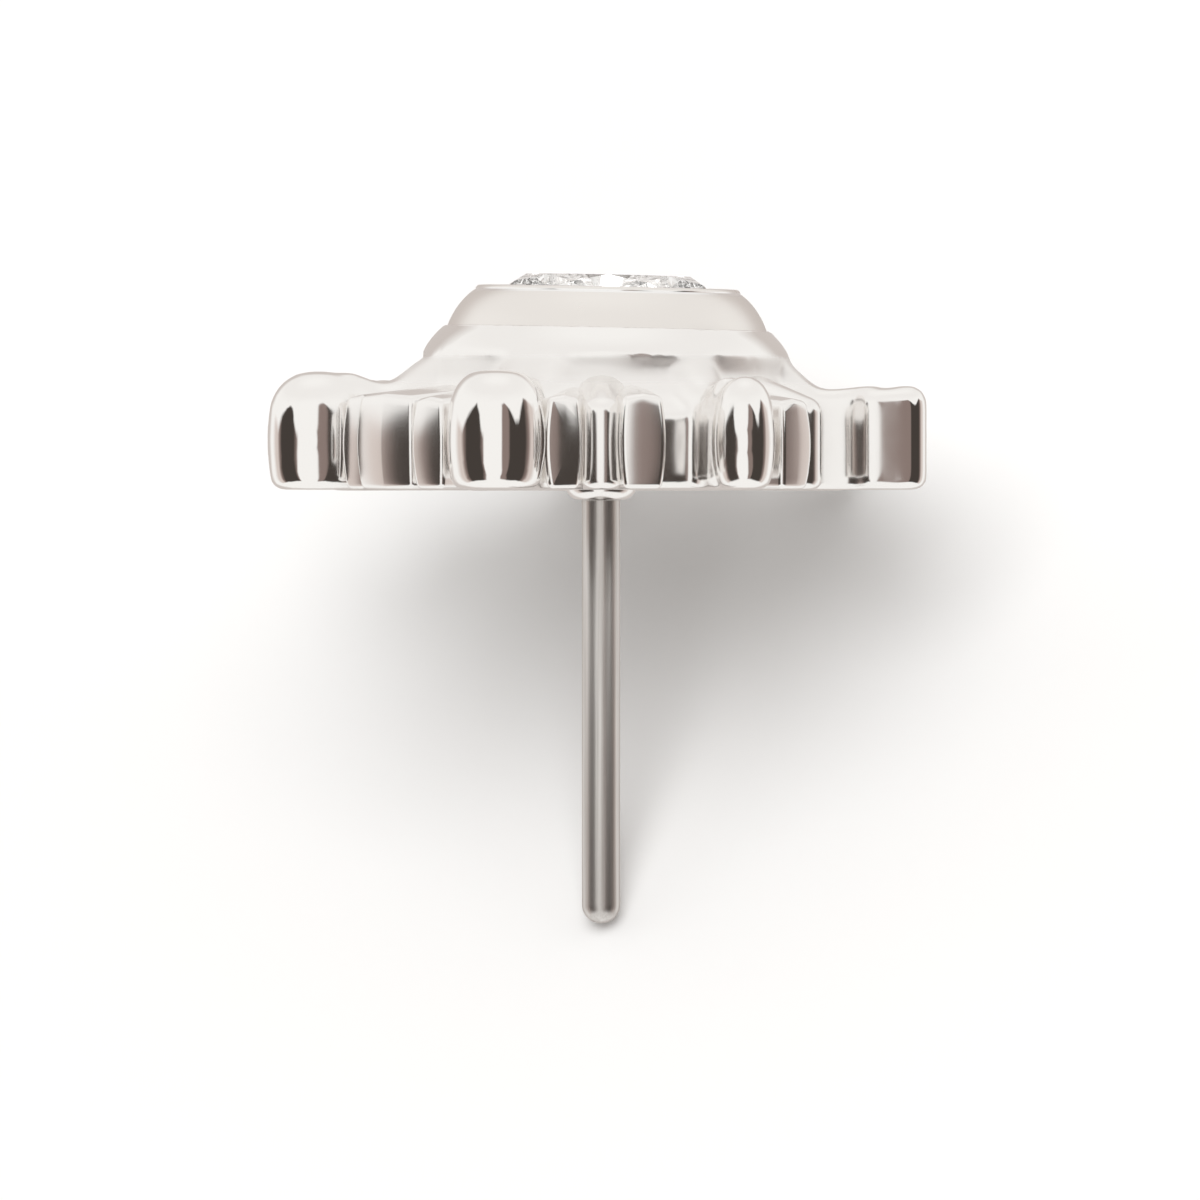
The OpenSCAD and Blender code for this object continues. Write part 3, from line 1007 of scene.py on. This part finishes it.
# %% Soft light for the floor
LAMP_PLACE = (0.05, -0.02, 0.4)
LAMP_SIZE = 0.35
LAMP_POWER = 0.75
bpy.ops.object.light_add(type="AREA", location=LAMP_PLACE)
lamp = bpy.context.object
lamp.name = "soft_light"
lamp.data.shape = "DISK"
lamp.data.size = LAMP_SIZE
lamp.data.energy = LAMP_POWER
lamp.visible_glossy = False
print("lamp:", LAMP_POWER, "W")

# %% Directions of the tent
world = bpy.data.worlds.new("studio_tent")
bpy.context.scene.world = world
world.use_nodes = True
tree = world.node_tree
tree.nodes.clear()
direction = new_node(tree, "ShaderNodeTexCoord").outputs["Generated"]


def share_along(axis):
    """How much of the direction points along an axis."""
    return vector_node(tree, "DOT_PRODUCT", direction, axis).outputs["Value"]


def ramp(value, low, high, stops):
    """A grey or colour by angle, from a list of angles and colours."""
    made = new_node(tree, "ShaderNodeValToRGB", {"Fac": share_between(tree, value, low, high)})
    elements = made.color_ramp.elements
    while len(elements) > 1:
        elements.remove(elements[-1])
    for number, (angle, colour) in enumerate(stops):
        place_on = (angle - low) / (high - low)
        stop = elements[0] if number == 0 else elements.new(place_on)
        stop.position = place_on
        stop.color = (*colour, 1)
    return made.outputs["Color"]


DEGREES = 180 / math.pi
round_angle = math_node(tree, "ARCTAN2", share_along(side), share_along(to_camera))
azimuth = math_node(tree, "MULTIPLY", round_angle, DEGREES)
elevation = math_node(tree, "MULTIPLY", math_node(tree, "ARCSINE", share_along(up)), DEGREES)
print("direction nodes:", len(tree.nodes))

# %% Cloth and flags
WHITE = (0.95, 0.94, 0.92)
BEIGE = (0.68, 0.60, 0.56)
BROWN = (0.26, 0.20, 0.18)
DARK = (0.06, 0.05, 0.044)
round_about = ramp(azimuth, -180, 180, [
    (-180, WHITE), (-112, WHITE), (-98, BEIGE), (-90, BEIGE), (-82, BROWN), (-74, DARK),
    (-36, DARK), (-30, BROWN), (-27, WHITE), (11, WHITE), (14, BROWN), (27, BROWN), (31, DARK),
    (72, DARK), (82, BROWN), (90, BEIGE), (98, BEIGE), (112, WHITE), (180, WHITE),
])
HIGH = (0.90, 0.885, 0.865)
above = ramp(elevation, -90, 90, [
    (-90, WHITE), (26, WHITE), (44, HIGH), (60, HIGH), (80, WHITE), (90, WHITE),
])
BLACK, FULL = (0, 0, 0), (1, 1, 1)


def grey(level):
    """A grey that stands for a number in a ramp."""
    return (level / 90, level / 90, level / 90)


# How high the dark flags reach at each azimuth: a pointed arch on the left, a notch on the right
flag_top = ramp(azimuth, -180, 180, [
    (-180, grey(20)), (-86, grey(4)), (-50, grey(22)), (-30, grey(2)), (0, grey(16)),
    (22, grey(26)), (46, grey(10)), (54, grey(10)), (78, grey(26)), (100, grey(14)),
    (180, grey(14)),
])
over = math_node(tree, "SUBTRACT", elevation, math_node(tree, "MULTIPLY", flag_top, 90))
under = ramp(elevation, -90, 90, [(-90, BLACK), (-46, BLACK), (-40, FULL), (90, FULL)])
covered = share_between(tree, over, 2, -2)
# Light that leaves the stone hardly sees the flags
FLAGS_LOST = 0.85
through = new_node(tree, "ShaderNodeLightPath").outputs["Is Transmission Ray"]
kept = math_node(tree, "SUBTRACT", 1, math_node(tree, "MULTIPLY", through, FLAGS_LOST))
in_band = math_node(tree, "MULTIPLY", math_node(tree, "MULTIPLY", covered, under), kept)
cloth, flags, tent = colour_mix(tree, in_band)
tree.links.new(above, cloth)
tree.links.new(round_about, flags)
print("nodes of the tent:", len(tree.nodes))

# %% Light of the studio
# The far end of the room is dimmer, which draws a thin line round every outline
LIMB = (0.62, 0.57, 0.54)
FAR_END = (-0.6, -0.8)
behind = share_between(tree, share_along(to_camera), *FAR_END)
dimmed = math_node(tree, "MULTIPLY", behind, math_node(tree, "SUBTRACT", 1, through))
lit, dim, room = colour_mix(tree, dimmed)
tree.links.new(tent, lit)
dim.default_value = (*LIMB, 1)
light = new_node(tree, "ShaderNodeBackground", {"Color": room, "Strength": 1.0})
plain = new_node(tree, "ShaderNodeBackground", {"Color": (0.95, 0.95, 0.95, 1), "Strength": 1.0})
seen = new_node(tree, "ShaderNodeLightPath").outputs["Is Camera Ray"]
either = new_node(tree, "ShaderNodeMixShader", {0: seen, 1: light.outputs[0], 2: plain.outputs[0]})
new_node(tree, "ShaderNodeOutputWorld", {"Surface": either.outputs[0]})
bpy.context.scene.view_settings.view_transform = "Standard"
# Light runs back and forth in a cut stone many times before it comes out
STONE_BOUNCES = 32
paths = bpy.context.scene.cycles
paths.max_bounces = STONE_BOUNCES
paths.glossy_bounces = STONE_BOUNCES
paths.transmission_bounces = STONE_BOUNCES
print("studio:", len(tree.nodes), "nodes, light path limit:", STONE_BOUNCES)
